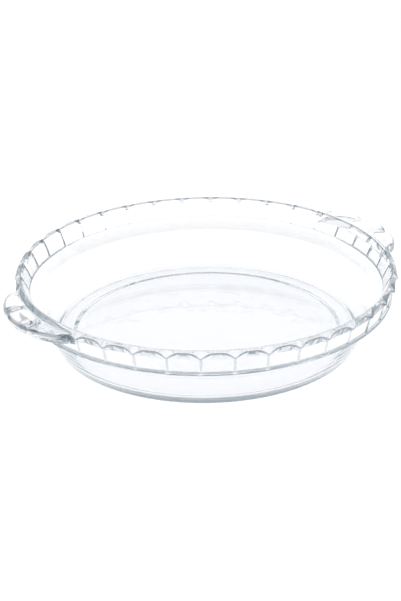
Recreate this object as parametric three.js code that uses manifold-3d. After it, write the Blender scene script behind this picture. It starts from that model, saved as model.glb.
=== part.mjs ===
// Round pressed-glass baking dish with a fluted rim and two lobed handles.
// Millimetres, +Z up, origin at the middle of the underside, handles along X.
import * as THREE from "three";
import { mergeVertices } from "three/addons/utils/BufferGeometryUtils.js";
import Module from "manifold-3d";

const wasm = await Module();
wasm.setup();

// Overall sizes
const HEIGHT = 48.8; // table to the crest of the lip
const FOOT_RADIUS = 102.2; // where the wall's outer face meets the table plane
const WALL_LEAN = THREE.MathUtils.degToRad(27); // outer face, from upright
const INSIDE_LEAN = THREE.MathUtils.degToRad(28.5); // inner face, from upright

// Base
const FLOOR_THICK = 4.8; // over the resting ring
const FOOT_ROUND = 2.4;
const RING_WIDTH = 9.7; // resting ring, in from the foot
const RECESS_DEPTH = 1;
const RECESS_SLOPE = 3.5; // width of the slope from the recess down to the ring
const CORNER_FILLET = 8; // inside, between floor and wall
const BASE_LIP = 0.7; // how far the base reaches up the inside fillet

// Rim
const RIM_HEIGHT = 25.4; // foot of the flare under the bead to the crest of the lip
const LIP_SETBACK = 2.1; // crest's outer edge, in from the line of the wall's outer face
const LIP_FLAT = 1.1; // width of the crest
const LIP_ROUND = 0.6;
const ROOF_WIDTH = 3.9; // gentle slope outside the crest
const ROOF_DROP = 1.3; // outer edge of that slope, down from the crest
const BEAD_STANDOUT = 10.9; // out from the wall at the foot of the flare
const BEAD_RISE = 7.6; // height of the flare from the wall out to the bead
const BEAD_HEIGHT = 2.2;
const BEAD_ROUND = 0.7;
const RIB_OVERHANG = 4.8; // tips of the ribs, out from the crest
const RIB_TIP_DROP = 3.8; // tips of the ribs, down from the crest

// Flutes
const FLUTES = 38;
const LEDGE_DEPTH = 1.4; // bottom of a scoop, in from the bead
const LEDGE_RISE = 0.3; // bottom of a scoop, up from the bead
const SCOOP_LEAN = THREE.MathUtils.degToRad(19.5); // from upright
const SCOOP_FLAT = 10.6; // width of a scoop's flat middle
const SCOOP_SIDE = THREE.MathUtils.degToRad(66); // side of a scoop, from the radial direction
const SCOOP_ROUND = 2.4; // how far the bend between flat and side reaches

// Handles
const FLUTES_PER_HANDLE = 4; // a handle runs from rib to rib over this many flutes
const HANDLE_STANDOUT = 14.6; // tip of the middle lobe, out from the ribs
const HANDLE_DROP = 0.9; // top of a handle, down from the crest
const HANDLE_THICK = 7.6;
const HANDLE_EDGE = 3; // rounding of the outer edge
const HANDLE_ROOT = 12; // how far a handle's blank runs into the rim before it is cut to its seat
const NOTCH_DEPTH = 2.4; // outline between two lobes, in from the tip of the middle lobe
const NOTCH_ANGLE = THREE.MathUtils.degToRad(5.4); // from the middle of the handle
const SIDE_LOBE_SETBACK = 1.8; // in from the tip of the middle lobe
const SIDE_LOBE_ANGLE = THREE.MathUtils.degToRad(11.6);
const SHOULDER_SETBACK = 7.4; // in from the tip of the middle lobe
const SHOULDER_ANGLE = THREE.MathUtils.degToRad(15.4);
const GROOVE_RADIUS = 5; // round groove along the top, between two lobes
const GROOVE_DEPTH = 1.5;
const SEAT_CLEARANCE = 0.3; // handle to rim

// Facets
const TURN_STEPS = FLUTES * 2;
const ARC_STEPS = 3;
const WELD = 1e-4; // corners closer than this are one
const BEND_SHARE = 0.45; // a bend takes at most this share of a side

// Heights, radii and angles that follow
const RIM_BOTTOM = HEIGHT - RIM_HEIGHT;
const BASE_TOP = FLOOR_THICK + BASE_LIP;
const BEAD_BOTTOM = RIM_BOTTOM + BEAD_RISE;
const BEAD_TOP = BEAD_BOTTOM + BEAD_HEIGHT;
const HANDLE_TOP = HEIGHT - HANDLE_DROP;
const LIP_RADIUS = outerRadius(HEIGHT) - LIP_SETBACK;
const BEAD_RADIUS = outerRadius(RIM_BOTTOM) + BEAD_STANDOUT;
const RIB_TIP_RADIUS = LIP_RADIUS + RIB_OVERHANG;
const HANDLE_REACH = RIB_TIP_RADIUS + HANDLE_STANDOUT;
const PITCH = (2 * Math.PI) / FLUTES;
const HANDLE_SPAN = FLUTES_PER_HANDLE * PITCH;

const GLASS = { color: 0xdde6e8, roughness: 0.05, metalness: 0 };

// Solids and cuts

function solidOf(geometry) {
  const bare = geometry.clone();
  bare.deleteAttribute("normal");
  bare.deleteAttribute("uv");
  const merged = mergeVertices(bare, WELD);
  return new wasm.Manifold(
    new wasm.Mesh({
      numProp: 3,
      vertProperties: merged.attributes.position.array,
      triVerts: new Uint32Array(merged.index.array),
    }),
  );
}

function geometryOf(solid) {
  const made = solid.getMesh();
  const geometry = new THREE.BufferGeometry();
  geometry.setAttribute("position", new THREE.BufferAttribute(made.vertProperties, 3));
  geometry.setIndex(new THREE.BufferAttribute(made.triVerts, 1));
  geometry.computeVertexNormals();
  return geometry;
}

// Outlines of the glass, as radius against height

const polar = (radius, angle) => new THREE.Vector2(radius * Math.cos(angle), radius * Math.sin(angle));

function outerRadius(height) {
  return FOOT_RADIUS + height * Math.tan(WALL_LEAN);
}

const CORNER_RADIUS = LIP_RADIUS - LIP_FLAT - (HEIGHT - FLOOR_THICK) * Math.tan(INSIDE_LEAN);
const FILLET_REACH = CORNER_FILLET * Math.tan((Math.PI / 2 - INSIDE_LEAN) / 2);
const FLOOR_RADIUS = CORNER_RADIUS - FILLET_REACH;
const FILLET_TOP = FLOOR_THICK + FILLET_REACH * Math.cos(INSIDE_LEAN);

// The inner face follows the fillet out of the floor, then the straight lean of the wall.
function innerRadius(height) {
  const climb = height - FLOOR_THICK;
  if (height >= FILLET_TOP) return CORNER_RADIUS + climb * Math.tan(INSIDE_LEAN);
  return FLOOR_RADIUS + Math.sqrt(CORNER_FILLET ** 2 - (CORNER_FILLET - climb) ** 2);
}

function innerFace(from, to, steps) {
  return Array.from({ length: steps + 1 }, (_, i) => {
    const height = from + ((to - from) * i) / steps;
    return new THREE.Vector2(innerRadius(height), height);
  });
}

// Corners given as [radius, height, rounding] become a line of points with a bend at each rounded corner.
function roundedLine(corners) {
  return corners.flatMap(([x, y, rounding], i) => {
    const here = new THREE.Vector2(x, y);
    if (!rounding) return [here];
    const [before, after] = [corners[i - 1], corners[i + 1]].map(([cx, cy]) => new THREE.Vector2(cx, cy));
    const [start, end] = [before, after].map((side) =>
      here.clone().lerp(side, Math.min(rounding / here.distanceTo(side), BEND_SHARE)),
    );
    return new THREE.QuadraticBezierCurve(start, here, end).getPoints(ARC_STEPS);
  });
}

function revolve(points) {
  return new THREE.LatheGeometry(points, TURN_STEPS).rotateX(Math.PI / 2);
}

// Regions of the pressing

function baseGeometry() {
  const underside = roundedLine([
    [0, RECESS_DEPTH, 0],
    [FOOT_RADIUS - RING_WIDTH - RECESS_SLOPE, RECESS_DEPTH, 0],
    [FOOT_RADIUS - RING_WIDTH, 0, 0],
    [FOOT_RADIUS, 0, FOOT_ROUND],
    [outerRadius(BASE_TOP), BASE_TOP, 0],
  ]);
  const inside = innerFace(FLOOR_THICK, BASE_TOP, 2).reverse();
  return revolve([...underside, ...inside, new THREE.Vector2(0, FLOOR_THICK)]);
}

function sideWallGeometry() {
  const outside = [BASE_TOP, RIM_BOTTOM].map((height) => new THREE.Vector2(outerRadius(height), height));
  const straight = new THREE.Vector2(innerRadius(RIM_BOTTOM), RIM_BOTTOM);
  const fillet = innerFace(BASE_TOP, FILLET_TOP, 2 * ARC_STEPS).reverse();
  return revolve([...outside, straight, ...fillet, outside[0]]);
}

// The rim's outer face before the flutes are cut, from the flare up over the lip, moved out by a clearance.
function rimOuterLine(clearance) {
  return roundedLine([
    [outerRadius(RIM_BOTTOM) + clearance, RIM_BOTTOM, 0],
    [BEAD_RADIUS + clearance, BEAD_BOTTOM, BEAD_ROUND],
    [BEAD_RADIUS + clearance, BEAD_TOP, BEAD_ROUND],
    [RIB_TIP_RADIUS + clearance, HEIGHT - RIB_TIP_DROP, LIP_ROUND],
    [LIP_RADIUS + ROOF_WIDTH + clearance, HEIGHT - ROOF_DROP + clearance, LIP_ROUND],
    [LIP_RADIUS + clearance, HEIGHT + clearance, LIP_ROUND],
    [LIP_RADIUS - LIP_FLAT, HEIGHT + clearance, 0],
  ]);
}

function scoopSolid(height) {
  const footRadius = BEAD_RADIUS - LEDGE_DEPTH;
  const footHeight = BEAD_TOP + LEDGE_RISE;
  const sideReach = HANDLE_REACH - footRadius;
  const halfFlat = SCOOP_FLAT / 2;
  const along = new THREE.Vector2(Math.sin(SCOOP_SIDE), Math.cos(SCOOP_SIDE));
  const sideBend = along.clone().multiplyScalar(SCOOP_ROUND);
  const sideEnd = along.clone().multiplyScalar(sideReach);
  const section = new THREE.Shape();
  section.moveTo(-halfFlat - sideEnd.x, sideEnd.y);
  section.lineTo(-halfFlat - sideBend.x, sideBend.y);
  section.quadraticCurveTo(-halfFlat, 0, -halfFlat + SCOOP_ROUND, 0);
  section.lineTo(halfFlat - SCOOP_ROUND, 0);
  section.quadraticCurveTo(halfFlat, 0, halfFlat + sideBend.x, sideBend.y);
  section.lineTo(halfFlat + sideEnd.x, sideEnd.y);
  const depth = (height - footHeight) / Math.cos(SCOOP_LEAN);
  const cutter = new THREE.ExtrudeGeometry(section, { depth, bevelEnabled: false, curveSegments: ARC_STEPS });
  cutter.rotateX(-SCOOP_LEAN).translate(0, footRadius, footHeight).rotateZ(-Math.PI / 2);
  return solidOf(cutter);
}

function isUnderHandle(angle) {
  return Math.abs(Math.sin(angle)) < Math.sin(HANDLE_SPAN / 2);
}

function rimGeometry() {
  const outside = rimOuterLine(0);
  const foot = new THREE.Vector2(innerRadius(RIM_BOTTOM), RIM_BOTTOM);
  const blank = solidOf(revolve([...outside, foot, outside[0]]));
  const openScoop = scoopSolid(HEIGHT + HANDLE_THICK);
  const coveredScoop = scoopSolid(HANDLE_TOP - HANDLE_THICK);
  return geometryOf(
    Array.from({ length: FLUTES }, (_, k) => (k + 0.5) * PITCH).reduce((rim, angle) => {
      const scoop = isUnderHandle(angle) ? coveredScoop : openScoop;
      return rim.subtract(scoop.rotate([0, 0, THREE.MathUtils.radToDeg(angle)]));
    }, blank),
  );
}

function handleOutline() {
  const inner = polar(RIB_TIP_RADIUS - HANDLE_ROOT, HANDLE_SPAN / 2);
  const root = polar(RIB_TIP_RADIUS - HANDLE_EDGE, HANDLE_SPAN / 2);
  const shoulderRadius = HANDLE_REACH - SHOULDER_SETBACK;
  const bend = polar((shoulderRadius + RIB_TIP_RADIUS) / 2, (SHOULDER_ANGLE + HANDLE_SPAN / 2) / 2);
  const shoulder = polar(shoulderRadius, SHOULDER_ANGLE);
  const sideLobe = polar(HANDLE_REACH - SIDE_LOBE_SETBACK, SIDE_LOBE_ANGLE);
  const notch = polar(HANDLE_REACH - NOTCH_DEPTH, NOTCH_ANGLE);
  const outline = new THREE.Shape();
  outline.moveTo(inner.x, -inner.y);
  outline.lineTo(root.x, -root.y);
  outline.quadraticCurveTo(bend.x, -bend.y, shoulder.x, -shoulder.y);
  outline.quadraticCurveTo(sideLobe.x, -sideLobe.y, notch.x, -notch.y);
  outline.quadraticCurveTo(2 * HANDLE_REACH - notch.x, 0, notch.x, notch.y);
  outline.quadraticCurveTo(sideLobe.x, sideLobe.y, shoulder.x, shoulder.y);
  outline.quadraticCurveTo(bend.x, bend.y, root.x, root.y);
  outline.lineTo(inner.x, inner.y);
  return outline;
}

function grooveSolid(angle) {
  const length = HANDLE_REACH - LIP_RADIUS;
  const groove = new THREE.CylinderGeometry(GROOVE_RADIUS, GROOVE_RADIUS, 2 * length, 4 * ARC_STEPS);
  groove.rotateZ(Math.PI / 2);
  groove.translate(LIP_RADIUS + length, 0, HANDLE_TOP + GROOVE_RADIUS - GROOVE_DEPTH).rotateZ(angle);
  return solidOf(groove);
}

function handleGeometry() {
  const plate = new THREE.ExtrudeGeometry(handleOutline(), {
    depth: HANDLE_THICK - 2 * HANDLE_EDGE,
    bevelThickness: HANDLE_EDGE,
    bevelSize: HANDLE_EDGE,
    bevelOffset: -HANDLE_EDGE,
    bevelSegments: ARC_STEPS,
    curveSegments: 2 * ARC_STEPS,
  }).translate(0, 0, HANDLE_TOP - HANDLE_THICK + HANDLE_EDGE);
  const seatLine = rimOuterLine(SEAT_CLEARANCE);
  const seat = revolve([
    new THREE.Vector2(0, RIM_BOTTOM),
    ...seatLine,
    new THREE.Vector2(0, HEIGHT + SEAT_CLEARANCE),
  ]);
  return geometryOf(
    solidOf(plate)
      .subtract(grooveSolid(NOTCH_ANGLE))
      .subtract(grooveSolid(-NOTCH_ANGLE))
      .subtract(solidOf(seat)),
  );
}

const dish = new THREE.Group();

function addRegion(name, geometry) {
  const region = new THREE.Mesh(geometry, new THREE.MeshStandardMaterial(GLASS));
  region.name = name;
  dish.add(region);
  return region;
}

addRegion("base", baseGeometry());
addRegion("side_wall", sideWallGeometry());
addRegion("fluted_rim", rimGeometry());
const handle = handleGeometry();
addRegion("handle_right", handle);
addRegion("handle_left", handle).rotation.z = Math.PI;

export default dish;
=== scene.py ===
"""Looks of a round pressed-glass baking dish with a fluted rim and two lobed handles."""
import logging
import math
from dataclasses import dataclass, replace
from enum import Enum
from typing import Any, Union

import bmesh
import bpy
from mathutils import Matrix, Vector


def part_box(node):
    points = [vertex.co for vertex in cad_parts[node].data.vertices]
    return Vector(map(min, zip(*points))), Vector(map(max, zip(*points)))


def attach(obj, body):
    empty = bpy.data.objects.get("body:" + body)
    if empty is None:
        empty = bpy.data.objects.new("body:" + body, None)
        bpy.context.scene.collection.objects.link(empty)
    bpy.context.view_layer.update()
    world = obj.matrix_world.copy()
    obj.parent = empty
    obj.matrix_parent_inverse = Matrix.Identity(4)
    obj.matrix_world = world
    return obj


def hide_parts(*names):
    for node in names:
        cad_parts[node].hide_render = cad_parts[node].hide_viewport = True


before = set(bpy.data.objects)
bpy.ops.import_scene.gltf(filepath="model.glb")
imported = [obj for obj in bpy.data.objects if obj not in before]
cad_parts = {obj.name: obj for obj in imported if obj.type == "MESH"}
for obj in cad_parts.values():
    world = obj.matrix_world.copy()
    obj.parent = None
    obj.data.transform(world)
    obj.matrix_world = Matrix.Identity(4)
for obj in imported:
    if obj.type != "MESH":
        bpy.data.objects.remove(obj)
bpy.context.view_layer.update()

log = logging.getLogger("baking_dish")

MM = 0.001
FULL_TURN = 2 * math.pi
AXIS_LIMIT = 0.01  # millimetres from the axis within which a point stays on it
WELD = 1e-7  # metres within which two points are one
BEND_ROOM = 0.48  # most of a side that a bend may take
STRAIGHT_HALF = 1.57  # half angle, in radians, past which a corner counts as straight
STRAIGHT_REACH = 0.25  # share of its room that a straight corner takes
LEAST_SWEEP = 0.02  # radians below which an arc is drawn as a line
OPEN = 1000.0  # stands for no limit at the end of a range
LIGHT_BOUNCES = 160  # enough for light that runs through the floor from side to side

SocketKey = Union[int, str]
Term = Union["Signal", float]
Tint = tuple[float, float, float]
WHITE: Tint = (1.0, 1.0, 1.0)


def smooth_step(value: float) -> float:
    """Eases a value from 0 to 1, flat at both ends."""
    share = min(max(value, 0.0), 1.0)
    return share * share * (3 - 2 * share)


def bell(distance: float, width: float) -> float:
    """Gives a bell curve's height, 1 at no distance."""
    return math.exp(-((distance / width) ** 2))


# Section of the glass


@dataclass(frozen=True)
class Corner:
    """A corner of the dish's section, in millimetres.

    Fields are its radius and height, the radius of its bend, the steps of that bend,
    and the points laid on the straight run that follows it.
    """

    radius: float
    height: float
    bend: float = 0.0
    steps: int = 0
    run: int = 0

    @property
    def place(self) -> Vector:
        """The corner as a point of the section."""
        return Vector((self.radius, self.height))

    def towards(self, other: "Corner", share: float) -> "Corner":
        """Moves the corner's place towards another's and keeps its own bend and steps."""
        place = self.place.lerp(other.place, share)
        return replace(self, radius=place.x, height=place.y)

    def arc(self, before: Vector, after: Vector) -> list[Vector]:
        """Rounds the corner.

        Args:
            before: the corner that comes before in the section.
            after: the corner that comes after.

        Returns:
            The points of the arc, or the corner alone where it has no bend.
        """
        if not self.steps:
            return [self.place]
        back, ahead = before - self.place, after - self.place
        half = 0.5 * back.angle(ahead, math.pi)
        room = BEND_ROOM * min(back.length, ahead.length)
        straight = half >= STRAIGHT_HALF
        reach = room * STRAIGHT_REACH if straight else min(self.bend / math.tan(half), room)
        start = self.place + back.normalized() * reach
        end = self.place + ahead.normalized() * reach
        shares = [i / self.steps for i in range(self.steps + 1)]
        sweep = math.pi - 2 * half
        if sweep < LEAST_SWEEP:
            return [start.lerp(end, share) for share in shares]
        inward = (start.lerp(end, 0.5) - self.place).normalized()
        middle = self.place + inward * (reach / math.cos(half))
        from_middle, to_middle = start - middle, end - middle
        return [
            middle
            + from_middle * (math.sin((1 - share) * sweep) / math.sin(sweep))
            + to_middle * (math.sin(share * sweep) / math.sin(sweep))
            for share in shares
        ]


def trace(corners: list[Corner], margin: float = 0.06) -> list[Vector]:
    """Follows a section through its corners.

    Args:
        corners: the corners in order.
        margin: share of a straight run between its end and its first point.

    Returns:
        The points of the bends and of the straight runs between them.
    """
    places = [corner.place for corner in corners]
    bends = [
        corner.arc(places[max(i - 1, 0)], places[min(i + 1, len(places) - 1)])
        for i, corner in enumerate(corners)
    ]
    points: list[Vector] = []
    for corner, bend, following in zip(corners, bends, bends[1:] + [[]]):
        points.extend(bend)
        for i in range(corner.run if following else 0):
            share = margin + (1 - 2 * margin) * i / max(corner.run - 1, 1)
            points.append(bend[-1].lerp(following[0], share))
    return points


# Parts of the pressing


@dataclass
class Bowl:
    """Floor, foot and side wall, in millimetres and degrees."""

    foot_radius: float = 102.2
    foot_round: float = 1.2
    wall_lean: float = 27.0
    inside_lean: float = 28.4
    floor_top: float = 4.3
    corner_fillet: float = 6.2
    recess_radius: float = 91.6
    recess_depth: float = 1.2
    recess_slope: float = 3.5
    recess_bend: float = 3.0

    def outer_radius(self, height: float) -> float:
        """Radius of the wall's outer face at a height."""
        return self.foot_radius + height * math.tan(math.radians(self.wall_lean))

    def underside(self) -> list[Corner]:
        """Gives the corners of the underside.

        Returns:
            The corners, from the middle over the recess and the resting ring to the foot.
        """
        return [
            Corner(0, self.recess_depth, run=2),
            Corner(self.recess_radius - self.recess_slope, self.recess_depth, self.recess_bend, 4, 1),
            Corner(self.recess_radius, 0, self.recess_bend, 4, 2),
            Corner(self.foot_radius, 0, self.foot_round, 6, 3),
        ]

    def inside(self, lip: Corner) -> list[Corner]:
        """Gives the corners of the inside.

        Args:
            lip: the lip's inner edge.

        Returns:
            The corners, from the foot of the wall to the middle of the floor.
        """
        setback = (lip.height - self.floor_top) * math.tan(math.radians(self.inside_lean))
        return [
            Corner(lip.radius - setback, self.floor_top, self.corner_fillet, 14, 3),
            Corner(0, self.floor_top),
        ]


@dataclass
class FlutedRim:
    """Flare, bead, flutes with the ribs between them, and lip, in millimetres.

    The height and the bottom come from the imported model. The scoop's own sizes are shares of
    half a flute, and its lift is a share of its depth. A panel is the flat of a flute, and its
    ladder gives each of its corners as a share of the way up, a bend, the bend's steps and the
    points on the run after it.
    """

    height: float
    bottom: float
    lip_radius: float = 125.0
    lip_flat: float = 0.9
    lip_round: float = 0.6
    flare_rise: float = 1.4
    flare_bend: float = 9.0
    bead_radius: float = 125.0
    bead_rise: float = 7.7
    bead_height: float = 2.2
    bead_round: float = 0.7
    ledge_set: float = 0.4
    ledge_round: float = 0.8
    flutes: int = 38
    flute_foot_radius: float = 123.6
    flute_foot_rise: float = 0.05
    flute_top_radius: float = 127.6
    flute_top_drop: float = 0.45
    scoop_blunt: float = 0.06
    scoop_flank: float = 0.5
    scoop_shoulder: float = 0.22
    scoop_lift: float = 0.01
    panel_ladder: tuple[tuple[float, float, int, int], ...] = (
        (0.30, 1.6, 4, 2),
        (0.42, 2.7, 6, 1),
        (0.55, 2.7, 6, 1),
        (0.68, 5.0, 4, 1),
    )
    rib_tip_radius: float = 129.0
    rib_tip_drop: float = 4.8
    rib_height: float = 0.6
    rib_width: float = 1.5
    edge_round: float = 1.8

    @property
    def pitch(self) -> float:
        """Angle from rib to rib, in radians."""
        return FULL_TURN / self.flutes

    @property
    def tip(self) -> Corner:
        """Tip of a rib, at the outer edge of the roof."""
        return Corner(self.rib_tip_radius, self.height - self.rib_tip_drop, self.edge_round, 5, 1)

    def from_rib(self, angle: float) -> float:
        """How far an angle is from the nearest rib: 0 on it and 1 in the middle of a flute."""
        share = (angle / self.pitch) % 1.0
        return 2 * min(share, 1 - share)

    def flute_weight(self, angle: float) -> float:
        """Tells how deep the scoop is.

        Args:
            angle: angle round the dish, in radians.

        Returns:
            The share of the depth, 0 on a rib and 1 on the flat of a flute.
        """
        climb = (math.hypot(self.from_rib(angle), self.scoop_blunt) - self.scoop_blunt) / self.scoop_flank
        eased = 0.5 * (climb + 1 - math.hypot(climb - 1, self.scoop_shoulder))
        return min(eased + self.scoop_lift, 1.0)

    def ridge_weight(self, angle: float) -> float:
        """How much of the narrow ridge stands at an angle: 1 on its crest and 0 on the panel."""
        return bell(0.5 * self.from_rib(angle) * self.pitch * self.bead_radius, self.rib_width)

    def bead(self, bowl: Bowl) -> list[Corner]:
        """Gives the corners of the flare and the bead.

        Args:
            bowl: the bowl whose wall the flare leaves.

        Returns:
            The corners, from the wall to the top of the bead.
        """
        flare_low = self.bottom + self.flare_rise
        bead_low = self.bottom + self.bead_rise
        return [
            Corner(bowl.outer_radius(flare_low), flare_low, self.flare_bend, 8, 1),
            Corner(self.bead_radius, bead_low, self.bead_round, 5, 1),
            Corner(self.bead_radius, bead_low + self.bead_height, self.bead_round, 5, 1),
        ]

    def face(self, angle: float) -> list[Corner]:
        """Gives the corners of the outer face above the bead, without a handle.

        Args:
            angle: angle round the dish, in radians.

        Returns:
            The ledge on the bead, the corners of the panel and the edge of the roof.
        """
        ridge = self.ridge_weight(angle)
        bead_top = self.bottom + self.bead_rise + self.bead_height
        foot = Corner(self.flute_foot_radius, bead_top + self.flute_foot_rise)
        top = Corner(self.flute_top_radius, self.height - self.flute_top_drop)
        crest = Corner(self.bead_radius - self.ledge_set, bead_top + self.ledge_set, self.ledge_round, 6, 1)
        ledge = crest.towards(foot, 1 - ridge)
        roof = self.tip.towards(top, self.flute_weight(angle))
        panel = []
        for share, bend, steps, run in self.panel_ladder:
            place = foot.place.lerp(top.place, share)
            panel.append(Corner(place.x + self.rib_height * ridge, place.y, bend, steps, run))
        return [ledge, *panel, roof]

    def lip(self) -> list[Corner]:
        """Gives the lip's outer and inner edges."""
        return [
            Corner(self.lip_radius, self.height, self.lip_round, 4),
            Corner(self.lip_radius - self.lip_flat, self.height, self.lip_round, 4, 4),
        ]


@dataclass
class Handle:
    """A lobed handle level with the lip, and its twin opposite, in millimetres and degrees.

    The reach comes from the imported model. The crown is a share of the handle's own reach.
    """

    reach: float
    flutes: int = 4
    drop: float = 0.9
    thick: float = 7.0
    joint_angle: float = 3.2
    swell_power: float = 0.75
    notch_angle: float = 5.4
    notch_width: float = 1.3
    notch_depth: float = 1.8
    groove_depth: float = 1.7
    edge_drop: float = 1.0
    crown: float = 0.4
    underside_tilt: float = 0.4
    valley_inset: float = 0.5
    valley_drop: float = 2.3

    @staticmethod
    def offset(angle: float) -> float:
        """Angle from the middle of the nearer handle, in radians."""
        return abs((angle + math.pi / 2) % math.pi - math.pi / 2)

    def draw_out(self, rim: FlutedRim, angle: float) -> list[Corner]:
        """Draws the rim's outer face out into the handle.

        Args:
            rim: the rim that carries the handle.
            angle: angle round the dish, in radians.

        Returns:
            The face's corners, which away from the handles are the rim's own.
        """
        ledge, *panel, roof = face = rim.face(angle)
        off = self.offset(angle)
        half_span = 0.5 * self.flutes * rim.pitch
        if off >= half_span:
            return face
        joined = smooth_step((half_span - off) / math.radians(self.joint_angle))
        notch = bell(math.degrees(off) - self.notch_angle, self.notch_width)
        swell = (1 - (off / half_span) ** 2) ** self.swell_power
        root_radius = rim.rib_tip_radius
        reach = root_radius + (self.reach - root_radius) * swell - self.notch_depth * notch
        top = rim.height - self.drop - self.groove_depth * notch
        bottom = rim.height - self.drop - self.thick
        root_share = (bottom - self.underside_tilt - ledge.height) / (roof.height - ledge.height)
        held = [
            ledge.towards(roof, root_share),
            Corner(reach, bottom + self.underside_tilt),
            Corner(reach, top - self.edge_drop),
            Corner(root_radius + self.crown * (reach - root_radius), top),
        ]
        valley = Corner(root_radius - self.valley_inset, rim.height - self.valley_drop)
        shaped = [corner.towards(target, joined) for corner, target in zip(panel, held)]
        return [ledge, *shaped, roof.towards(valley, joined)]


@dataclass
class GlassDish:
    """The whole pressing: bowl, rim and handles in one piece of glass.

    The crowding is how far the sections draw together at the ribs, 0 being evenly spaced.
    """

    bowl: Bowl
    rim: FlutedRim
    handle: Handle
    columns_per_flute: int = 18
    crowding: float = 0.72

    @classmethod
    def from_frame(cls) -> "GlassDish":
        """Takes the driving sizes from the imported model's nodes.

        Returns:
            The dish, not yet built.
        """
        rim_low, rim_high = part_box("fluted_rim")
        handle_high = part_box("handle_right")[1]
        return cls(
            bowl=Bowl(),
            rim=FlutedRim(height=rim_high[2] / MM, bottom=rim_low[2] / MM),
            handle=Handle(reach=handle_high[0] / MM),
        )

    @property
    def columns(self) -> int:
        """Number of sections round the dish."""
        return self.rim.flutes * self.columns_per_flute

    def column_angle(self, column: int) -> float:
        """Spaces the sections, closer together at the ribs than in the flutes.

        Args:
            column: number of the section.

        Returns:
            Its angle round the dish, in radians.
        """
        flute, step = divmod(column, self.columns_per_flute)
        share = step / self.columns_per_flute
        return (flute + share - self.crowding * math.sin(FULL_TURN * share) / FULL_TURN) * self.rim.pitch

    def section(self, angle: float) -> list[Vector]:
        """Gives the section of the glass, from the middle of the underside to that of the floor.

        Args:
            angle: angle round the dish, in radians.

        Returns:
            Points as radius and height, as many at every angle.
        """
        lip = self.rim.lip()
        return trace(
            [
                *self.bowl.underside(),
                *self.rim.bead(self.bowl),
                *self.handle.draw_out(self.rim, angle),
                *lip,
                *self.bowl.inside(lip[-1]),
            ]
        )

    def spin_section(self, shape: bmesh.types.BMesh) -> bmesh.types.BMLayerItem:
        """Spins the first section round the axis, one flute first and then the others as its copies.

        Args:
            shape: the mesh to fill.

        Returns:
            The layer that gives each vertex its place along the section.
        """
        station = shape.verts.layers.int.new("station")
        line = []
        for index, point in enumerate(self.section(0.0)):
            vertex = shape.verts.new((point.x * MM, 0.0, point.y * MM))
            vertex[station] = index
            line.append(vertex)
        runs = [shape.edges.new(pair) for pair in zip(line, line[1:])]
        bmesh.ops.spin(
            shape, geom=line + runs, cent=(0, 0, 0), axis=(0, 0, 1),
            angle=self.rim.pitch, steps=self.columns_per_flute,
        )
        bmesh.ops.spin(
            shape, geom=shape.verts[:] + shape.edges[:] + shape.faces[:], cent=(0, 0, 0), axis=(0, 0, 1),
            angle=FULL_TURN - self.rim.pitch, steps=self.rim.flutes - 1, use_duplicate=True,
        )
        return station

    def build(self) -> bpy.types.Object:
        """Spins a section round the axis, then brings each copy to the section of its own angle.

        Returns:
            The finished piece of glass.
        """
        shape = bmesh.new()
        station = self.spin_section(shape)
        angles = [self.column_angle(column) for column in range(self.columns)]
        sections = [self.section(angle) for angle in angles]
        for vertex in shape.verts:
            if vertex.co.xy.length < AXIS_LIMIT * MM:
                continue
            turn = math.atan2(vertex.co.y, vertex.co.x) % FULL_TURN
            column = round(turn / FULL_TURN * self.columns) % self.columns
            angle, point = angles[column], sections[column][vertex[station]]
            vertex.co = Vector((point.x * math.cos(angle), point.x * math.sin(angle), point.y)) * MM
        bmesh.ops.remove_doubles(shape, verts=shape.verts, dist=WELD)
        bmesh.ops.recalc_face_normals(shape, faces=shape.faces)
        for face in shape.faces:
            face.smooth = True
        mesh = bpy.data.meshes.new("glass_dish")
        shape.to_mesh(mesh)
        shape.free()
        dish = bpy.data.objects.new("glass_dish", mesh)
        bpy.context.scene.collection.objects.link(dish)
        return dish

    def place(self, finish: "PressedGlass") -> bpy.types.Object:
        """Builds the dish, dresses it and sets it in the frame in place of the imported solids.

        Args:
            finish: the glass.

        Returns:
            The dish.
        """
        dish = self.build()
        dish.data.materials.append(finish.material(self))
        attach(dish, "root")
        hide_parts("base", "side_wall", "fluted_rim", "handle_right", "handle_left")
        return dish


# Shaders


class Ray(Enum):
    """The kinds of ray that a material tells apart, by Light Path's outputs."""

    CAMERA = "Is Camera Ray"
    SHADOW = "Is Shadow Ray"
    GLOSSY = "Is Glossy Ray"
    THROUGH = "Is Transmission Ray"


@dataclass(frozen=True)
class Band:
    """A range of values, and how far its ends ease off inside it."""

    low: float
    high: float
    soft: float


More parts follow.
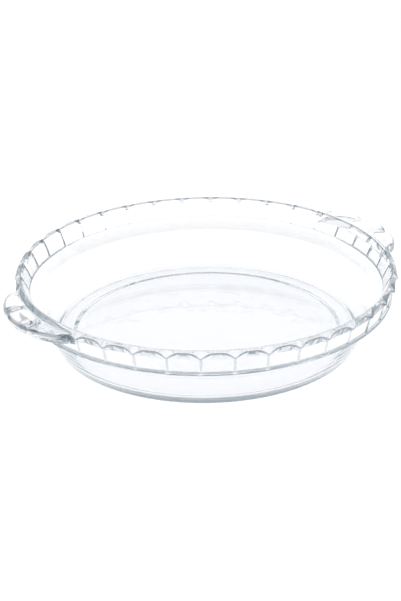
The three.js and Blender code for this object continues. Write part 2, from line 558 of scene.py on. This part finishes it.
class Signal:
    """A value socket that takes part in arithmetic, each operation adding a Math node."""

    def __init__(self, graph: "Graph", socket: bpy.types.NodeSocket) -> None:
        """Wraps an output socket of a graph."""
        self.graph = graph
        self.socket = socket

    def combine(self, operation: str, other: Term = 0.0, swapped: bool = False) -> "Signal":
        """Adds a Math node.

        Args:
            operation: the node's operation.
            other: the second value or signal.
            swapped: whether the other comes first.

        Returns:
            The node's result.
        """
        pair = (other, self) if swapped else (self, other)
        return self.graph.node("ShaderNodeMath", {"operation": operation}, dict(enumerate(pair)))

    def __add__(self, other: Term) -> "Signal":
        """Adds."""
        return self.combine("ADD", other)

    __radd__ = __add__

    def __sub__(self, other: Term) -> "Signal":
        """Subtracts."""
        return self.combine("SUBTRACT", other)

    def __rsub__(self, other: Term) -> "Signal":
        """Subtracts this signal from a number."""
        return self.combine("SUBTRACT", other, swapped=True)

    def __mul__(self, other: Term) -> "Signal":
        """Multiplies."""
        return self.combine("MULTIPLY", other)

    __rmul__ = __mul__

    def __abs__(self) -> "Signal":
        """Drops the sign."""
        return self.combine("ABSOLUTE")

    def maximum(self, other: Term) -> "Signal":
        """Takes the larger."""
        return self.combine("MAXIMUM", other)

    def minimum(self, other: Term) -> "Signal":
        """Takes the smaller."""
        return self.combine("MINIMUM", other)

    def within(self, band: Band) -> "Signal":
        """Tells where the signal lies in a range.

        Args:
            band: the range.

        Returns:
            1 inside the range, easing to 0 at its ends, and 0 outside.
        """
        rise = ((self - band.low) * (1 / band.soft)).minimum(1.0)
        fall = ((band.high - self) * (1 / band.soft)).minimum(1.0)
        return rise.minimum(fall).maximum(0.0)


class Graph:
    """A node tree that is filled by one method."""

    def __init__(self, tree: bpy.types.NodeTree) -> None:
        """Empties a tree to start from."""
        self.tree = tree
        tree.nodes.clear()

    def node(
        self, kind: str, settings: dict[str, Any] | None = None,
        inputs: dict[SocketKey, Any] | None = None, output: SocketKey = 0,
    ) -> Signal | None:
        """Adds a node.

        Args:
            kind: the node's type.
            settings: the node's own settings, with a ramp's stops under "stops".
            inputs: values, tints or signals for its sockets.
            output: which of its outputs is wanted.

        Returns:
            That output, or None for a node without outputs.
        """
        node = self.tree.nodes.new(kind)
        for name, value in (settings or {}).items():
            if name == "stops":
                self.set_stops(node.color_ramp, value)
            else:
                setattr(node, name, value)
        for name, value in (inputs or {}).items():
            socket = node.inputs[name]
            if isinstance(value, Signal):
                self.tree.links.new(value.socket, socket)
            else:
                socket.default_value = (*value, 1.0) if isinstance(value, tuple) else value
        return Signal(self, node.outputs[output]) if node.outputs else None

    @staticmethod
    def set_stops(ramp: bpy.types.ColorRamp, stops: list[tuple[float, Tint]]) -> None:
        """Sets a colour ramp's stops.

        Args:
            ramp: the ramp.
            stops: places from 0 to 1 in order, each with its tint.
        """
        while len(ramp.elements) < len(stops):
            ramp.elements.new(1.0)
        for element, (place, tint) in zip(ramp.elements, stops):
            element.position = place
            element.color = (*tint, 1.0)

    def axes(self, vector: Signal) -> list[Signal]:
        """Splits a vector into its three values."""
        split = self.node("ShaderNodeSeparateXYZ", None, {0: vector}).socket.node
        return [Signal(self, socket) for socket in split.outputs]

    def mix(self, share: Signal, first: Signal | Tint, second: Signal | Tint) -> Signal:
        """Mixes two colours, which have sockets 6 and 7 of the node and output 2."""
        inputs = {"Factor": share, 6: first, 7: second}
        return self.node("ShaderNodeMix", {"data_type": "RGBA"}, inputs, output=2)

    def ray(self, kind: Ray) -> Signal:
        """Tells whether a ray is of a kind."""
        return self.node("ShaderNodeLightPath", output=kind.value)


@dataclass(frozen=True)
class Spot:
    """What the glass knows of a point on it: its place in millimetres, how far it faces up, and its side."""

    across: Signal
    along: Signal
    height: Signal
    radius: Signal
    upward: Signal
    outside: Signal

    @classmethod
    def read(cls, graph: Graph) -> "Spot":
        """Adds the nodes that read a point.

        Args:
            graph: the glass's node tree.

        Returns:
            The point.
        """
        place = graph.axes(graph.node("ShaderNodeTexCoord", output="Object"))
        across, along, height = (axis * (1 / MM) for axis in place)
        radius = (across * across + along * along).combine("SQRT")
        behind = graph.node("ShaderNodeNewGeometry", output="Backfacing")
        normal = graph.axes(graph.node("ShaderNodeTexCoord", output="Normal"))
        return cls(across, along, height, radius, normal[2] * (1 - 2 * behind), 1 - behind)


@dataclass(frozen=True)
class PaintedEdgeShade:
    """A part of the dish's edges painted darker: painted shade in the glass's colour.

    The painted shade deepens the dark lines that refraction and the dark room overhead already give these
    edges.
    Fields are its ranges of radius and height in millimetres, its range of facing, from -1
    down to 1 up, and how strong the painted shade is.
    """

    reach: Band
    level: Band
    facing: Band = Band(-OPEN, OPEN, 1.0)
    strength: float = 1.0

    def mask(self, spot: Spot) -> Signal:
        """Gives the painted shade's share at a point."""
        place = spot.radius.within(self.reach) * spot.height.within(self.level)
        return place * spot.upward.within(self.facing) * self.strength


@dataclass(frozen=True)
class PressedGlass:
    """Clear soda glass from a press mould: faintly cool, a little wavy and not quite even.

    The wave's height and the widths of the handles' grooves and of the ridges between the
    flutes are in millimetres.
    """

    clear: Tint = (0.99, 0.988, 1.0)
    cloud: Tint = (0.975, 0.977, 0.992)
    cloud_scale: float = 22.0
    cloud_detail: float = 2.0
    haze: float = 0.012
    wave_scale: float = 55.0
    wave_detail: float = 1.0
    wave_strength: float = 0.12
    wave_height: float = 1.0
    refraction: float = 1.5
    deep_tint: Tint = (0.20, 0.32, 0.39)
    deep_density: float = 4.2
    shadow_tint: Tint = (0.93, 0.94, 0.96)
    # Painted shade: a dark colour painted along the flute arches, the lip's crest, the handles' grooves and
    # lobes, and the ridges, over the darkening that refraction gives there.
    edge_painted_shade: Tint = (0.19, 0.22, 0.25)
    arch: PaintedEdgeShade = PaintedEdgeShade(Band(125.6, 130.4, 0.6), Band(42.5, OPEN, 1.2), Band(-0.2, 0.64, 0.1))
    crest: PaintedEdgeShade = PaintedEdgeShade(Band(121.0, 125.2, 0.2), Band(47.6, OPEN, 0.3), Band(0.3, 0.95, 0.05), 0.85)
    groove: PaintedEdgeShade = PaintedEdgeShade(Band(130.5, OPEN, 1.0), Band(43.5, OPEN, 0.5))
    groove_width: Band = Band(-1.0, 1.0, 0.4)
    lobe: PaintedEdgeShade = PaintedEdgeShade(Band(131.0, OPEN, 0.8), Band(41.0, OPEN, 0.5), Band(0.3, 0.98, 0.1), 0.85)
    ridge: PaintedEdgeShade = PaintedEdgeShade(Band(123.0, 129.6, 0.3), Band(33.6, 45.0, 0.8), Band(-0.9, 0.3, 0.1), 0.55)
    ridge_width: Band = Band(-OPEN, 1.3, 0.9)

    def edges(self, graph: Graph, dish: GlassDish) -> Signal:
        """Finds the edges where shade is painted into the glass's colour.

        Args:
            graph: the glass's node tree.
            dish: the dish whose edges they are.

        Returns:
            The share of the painted edge shade.
        """
        spot = Spot.read(graph)
        rim = dish.rim
        slope = math.tan(math.radians(dish.handle.notch_angle))
        from_groove = abs(spot.along) - abs(spot.across) * slope
        turn = spot.along.combine("ARCTAN2", spot.across) * (1 / rim.pitch) + rim.flutes
        from_rib = (0.5 - abs(turn.combine("FRACT") - 0.5)) * (rim.pitch * rim.bead_radius)
        groove = self.groove.mask(spot) * from_groove.within(self.groove_width)
        ridge = self.ridge.mask(spot) * from_rib.within(self.ridge_width)
        outer = self.crest.mask(spot).maximum(groove).maximum(self.lobe.mask(spot)).maximum(ridge)
        return self.arch.mask(spot).maximum(spot.outside * outer)

    def material(self, dish: GlassDish) -> bpy.types.Material:
        """Builds the glass.

        Args:
            dish: the dish whose edges get painted shade.

        Returns:
            The material.
        """
        glass = bpy.data.materials.new("pressed_glass")
        glass.use_nodes = True
        graph = Graph(glass.node_tree)
        place = graph.node("ShaderNodeTexCoord", output="Object")
        clouds = graph.node(
            "ShaderNodeTexNoise", None,
            {"Vector": place, "Scale": self.cloud_scale, "Detail": self.cloud_detail},
        )
        waves = graph.node(
            "ShaderNodeTexNoise", None,
            {"Vector": place, "Scale": self.wave_scale, "Detail": self.wave_detail},
        )
        bump = graph.node(
            "ShaderNodeBump", None,
            {"Height": waves, "Strength": self.wave_strength, "Distance": self.wave_height * MM},
        )
        # Base colour: the glass's random clouded tone, with painted edge shade mixed in along the edges.
        tint = graph.mix(self.edges(graph, dish), graph.mix(clouds, self.clear, self.cloud), self.edge_painted_shade)
        body = graph.node(
            "ShaderNodeBsdfPrincipled", None,
            {
                "Base Color": tint, "Roughness": clouds * self.haze, "IOR": self.refraction,
                "Transmission Weight": 1.0, "Normal": bump,
            },
        )
        shadow = graph.node("ShaderNodeBsdfTransparent", None, {"Color": self.shadow_tint})
        surface = graph.node("ShaderNodeMixShader", None, {0: graph.ray(Ray.SHADOW), 1: body, 2: shadow})
        depth = graph.node(
            "ShaderNodeVolumeAbsorption", None, {"Color": self.deep_tint, "Density": self.deep_density},
        )
        graph.node("ShaderNodeOutputMaterial", None, {"Surface": surface, "Volume": depth})
        return glass


# Studio


@dataclass(frozen=True)
class Studio:
    """White floor, one soft lamp and a plain bright room, in metres.

    The floor glows by a share, so that it shows white and still keeps the dish's shadow, and
    glows fully beyond the shadow. The room darkens overhead, and its two levels there run from
    0 straight down to 1 straight up.
    """

    floor_half: float = 6.0
    floor_drop: float = 0.0004
    floor_tint: Tint = (0.9, 0.9, 0.9)
    floor_glow: float = 0.5
    shadow_reach: float = 0.25
    shadow_fade: float = 0.35
    lamp_height: float = 1.6
    lamp_side: float = 1.2
    lamp_power: float = 23.0
    overhead_tint: Tint = (0.27, 0.33, 0.36)
    overhead_start: float = 0.883
    overhead_full: float = 0.953

    def floor(self) -> bpy.types.Object:
        """Lays the floor.

        Returns:
            The floor.
        """
        shape = bmesh.new()
        bmesh.ops.create_grid(shape, x_segments=1, y_segments=1, size=self.floor_half)
        bmesh.ops.translate(shape, verts=shape.verts, vec=(0, 0, -self.floor_drop))
        mesh = bpy.data.meshes.new("sweep")
        shape.to_mesh(mesh)
        shape.free()
        mesh.materials.append(self.floor_paint())
        floor = bpy.data.objects.new("sweep", mesh)
        bpy.context.scene.collection.objects.link(floor)
        return floor

    def floor_paint(self) -> bpy.types.Material:
        """Builds the floor's white.

        Returns:
            The material.
        """
        paint = bpy.data.materials.new("sweep_white")
        paint.use_nodes = True
        graph = Graph(paint.node_tree)
        place = graph.node("ShaderNodeTexCoord", output="Object")
        distance = graph.node("ShaderNodeVectorMath", {"operation": "LENGTH"}, {0: place}, output="Value")
        away = ((distance - self.shadow_reach) * (1 / self.shadow_fade)).minimum(1.0).maximum(0.0)
        seen = graph.ray(Ray.CAMERA).maximum(graph.ray(Ray.GLOSSY)).maximum(graph.ray(Ray.THROUGH))
        share = seen * (away * (1 - self.floor_glow) + self.floor_glow)
        matte = graph.node("ShaderNodeBsdfDiffuse", None, {"Color": self.floor_tint})
        glow = graph.node("ShaderNodeEmission", None, {"Color": WHITE, "Strength": 1.0})
        surface = graph.node("ShaderNodeMixShader", None, {0: share, 1: matte, 2: glow})
        graph.node("ShaderNodeOutputMaterial", None, {"Surface": surface})
        return paint

    def lamp(self) -> bpy.types.Object:
        """Hangs a broad lamp over the dish that lights the floor but is not seen in the glass.

        Returns:
            The lamp.
        """
        data = bpy.data.lights.new("ceiling_lamp", "AREA")
        data.size = self.lamp_side
        data.energy = self.lamp_power
        lamp = bpy.data.objects.new("ceiling_lamp", data)
        lamp.location = (0, 0, self.lamp_height)
        lamp.visible_glossy = False
        lamp.visible_transmission = False
        bpy.context.scene.collection.objects.link(lamp)
        return lamp

    def room(self) -> bpy.types.World:
        """Sets the world: white where it is seen straight, and darker overhead elsewhere.

        Returns:
            The world.
        """
        world = bpy.data.worlds.new("room")
        bpy.context.scene.world = world
        world.use_nodes = True
        graph = Graph(world.node_tree)
        height = graph.axes(graph.node("ShaderNodeTexCoord", output="Generated"))[2]
        stops = [
            (0.0, WHITE),
            (self.overhead_start, WHITE),
            (self.overhead_full, self.overhead_tint),
            (1.0, self.overhead_tint),
        ]
        around = graph.node("ShaderNodeValToRGB", {"stops": stops}, {0: height * 0.5 + 0.5})
        colour = graph.mix(graph.ray(Ray.CAMERA), around, WHITE)
        light = graph.node("ShaderNodeBackground", None, {"Color": colour, "Strength": 1.0})
        graph.node("ShaderNodeOutputWorld", None, {"Surface": light})
        return world


@dataclass(frozen=True)
class PhotoCamera:
    """The camera of the photograph, in metres and degrees."""

    azimuth: float = -31.36
    elevation: float = 25.23
    roll: float = 0.83
    distance: float = 1.1433
    target_height: float = 0.026
    lens: float = 101.13
    shift_x: float = -0.00995
    shift_y: float = -0.00627

    def place(self) -> bpy.types.Object:
        """Sets up the camera and makes it the scene's own.

        Returns:
            The camera.
        """
        turn, rise, roll = (math.radians(v) for v in (self.azimuth, self.elevation, self.roll))
        back = Vector((math.sin(turn) * math.cos(rise), -math.cos(turn) * math.cos(rise), math.sin(rise)))
        level = Vector((math.cos(turn), math.sin(turn), 0))
        upright = back.cross(level)
        right = level * math.cos(roll) - upright * math.sin(roll)
        up = upright * math.cos(roll) + level * math.sin(roll)
        data = bpy.data.cameras.new("photo_camera")
        data.lens = self.lens
        data.shift_x = self.shift_x
        data.shift_y = self.shift_y
        camera = bpy.data.objects.new("photo_camera", data)
        eye = Vector((0, 0, self.target_height)) + back * self.distance
        camera.matrix_world = Matrix.Translation(eye) @ Matrix((right, up, back)).transposed().to_4x4()
        bpy.context.scene.collection.objects.link(camera)
        bpy.context.scene.camera = camera
        return camera


def main() -> None:
    """Builds the camera, the dish and the studio, and logs their names."""
    logging.basicConfig(level=logging.INFO)
    bpy.context.scene.view_settings.view_transform = "Standard"
    cycles = bpy.context.scene.cycles
    cycles.max_bounces = LIGHT_BOUNCES
    cycles.glossy_bounces = LIGHT_BOUNCES
    cycles.transmission_bounces = LIGHT_BOUNCES
    log.info("camera %s", PhotoCamera().place().name)
    dish = GlassDish.from_frame().place(PressedGlass())
    log.info("dish %s with %d faces", dish.name, len(dish.data.polygons))
    studio = Studio()
    log.info("floor %s", studio.floor().name)
    log.info("lamp %s", studio.lamp().name)
    log.info("world %s", studio.room().name)


if __name__ == "__main__":
    main()
